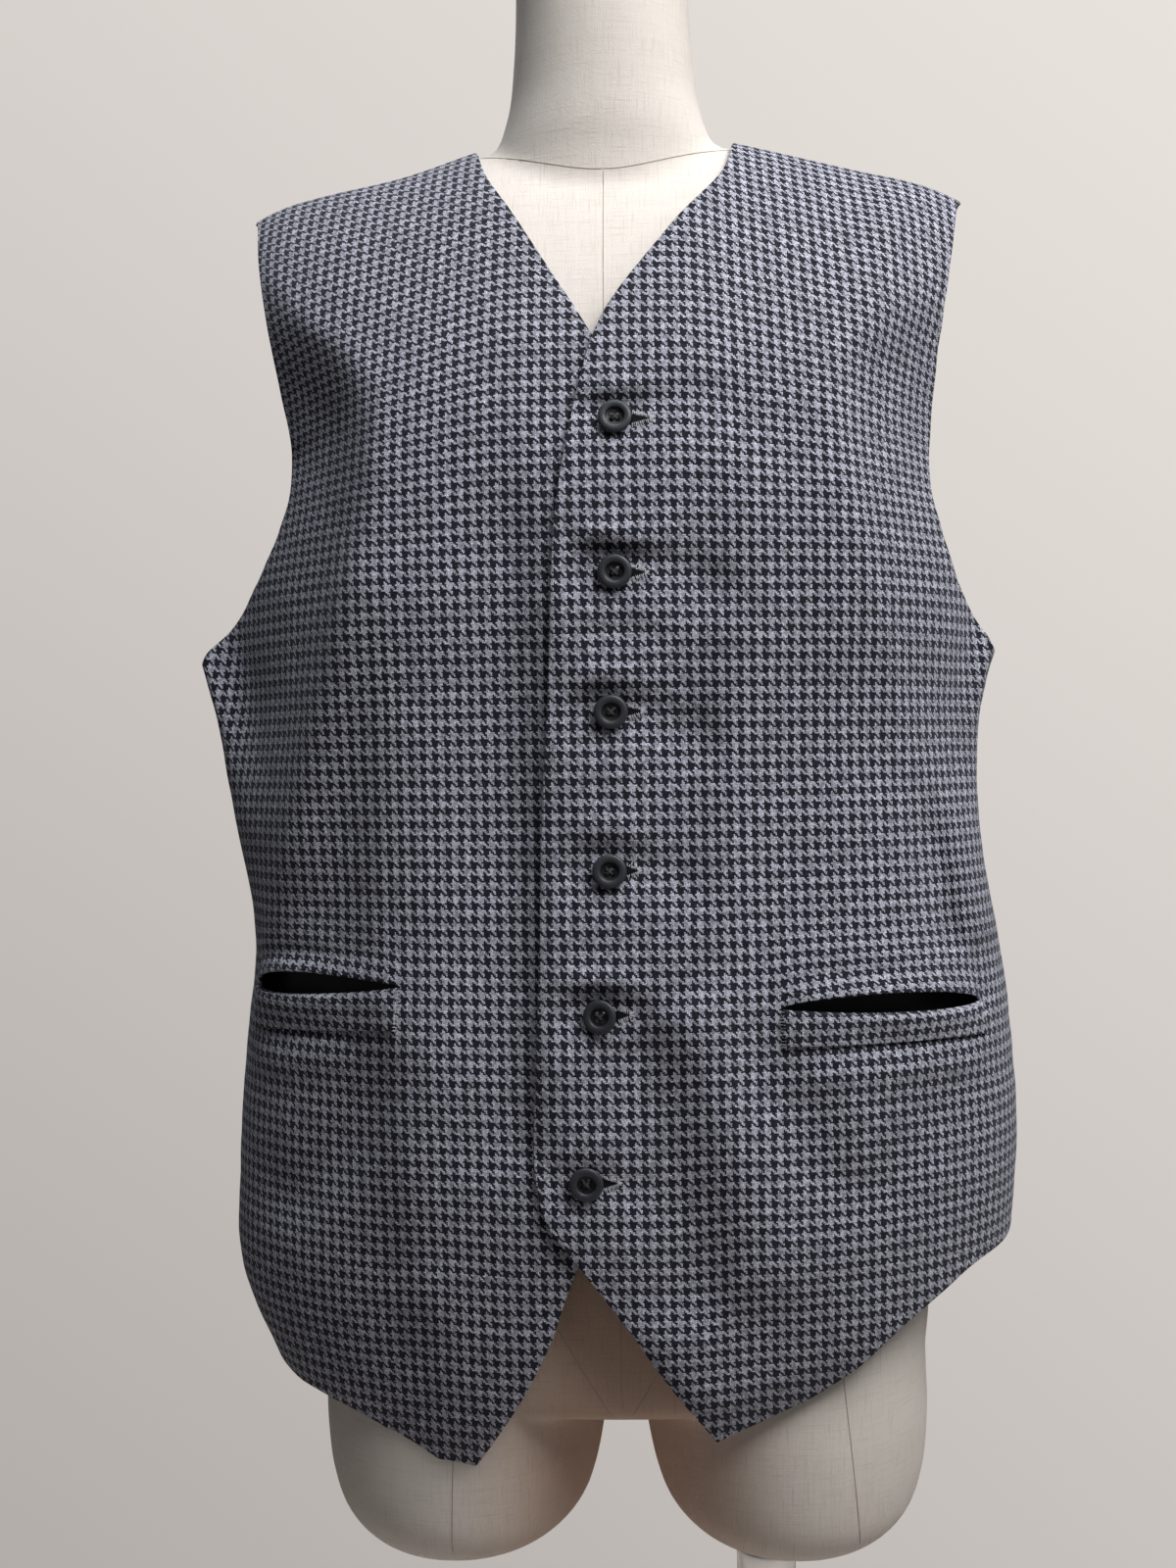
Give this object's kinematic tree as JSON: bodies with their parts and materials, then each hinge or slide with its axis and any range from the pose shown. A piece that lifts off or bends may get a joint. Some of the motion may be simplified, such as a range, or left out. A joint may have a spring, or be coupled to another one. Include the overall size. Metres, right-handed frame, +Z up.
{
  "type": "suit waistcoat on a dress form",
  "caption": "Wool houndstooth suit waistcoat with a V-neck, pointed hem, buttoned front and two welt pockets, on a linen-covered dress form with a rod and round plate.",
  "frame": {"origin": "centre of the underside of the stand's round plate", "axes": "+Z up, -Y out of the waistcoat's buttoned front, +X towards the wearer's left"},
  "size_m": [0.4488, 0.36, 1.508],
  "materials": {
    "wool": "matte wool flannel, charcoal and pale grey houndstooth",
    "satin": "dark navy satin, soft sheen",
    "pocket_lining": "dark twill lining",
    "button": "black, polished rim",
    "linen": "undyed oatmeal linen, matte",
    "chrome": "polished tube",
    "steel": "satin plate"
  },
  "bodies": {
    "root": {"front_left": "wool", "front_right": "wool", "welt_left": "wool", "welt_right": "wool", "pocket_left": "pocket_lining", "pocket_right": "pocket_lining", "back": "satin", "dress_form": "linen", "stand_rod": "chrome", "stand_base": "steel", "button_1": "button", "button_2": "button", "button_3": "button", "button_4": "button", "button_5": "button", "button_6": "button"}
  },
  "joints": []
}
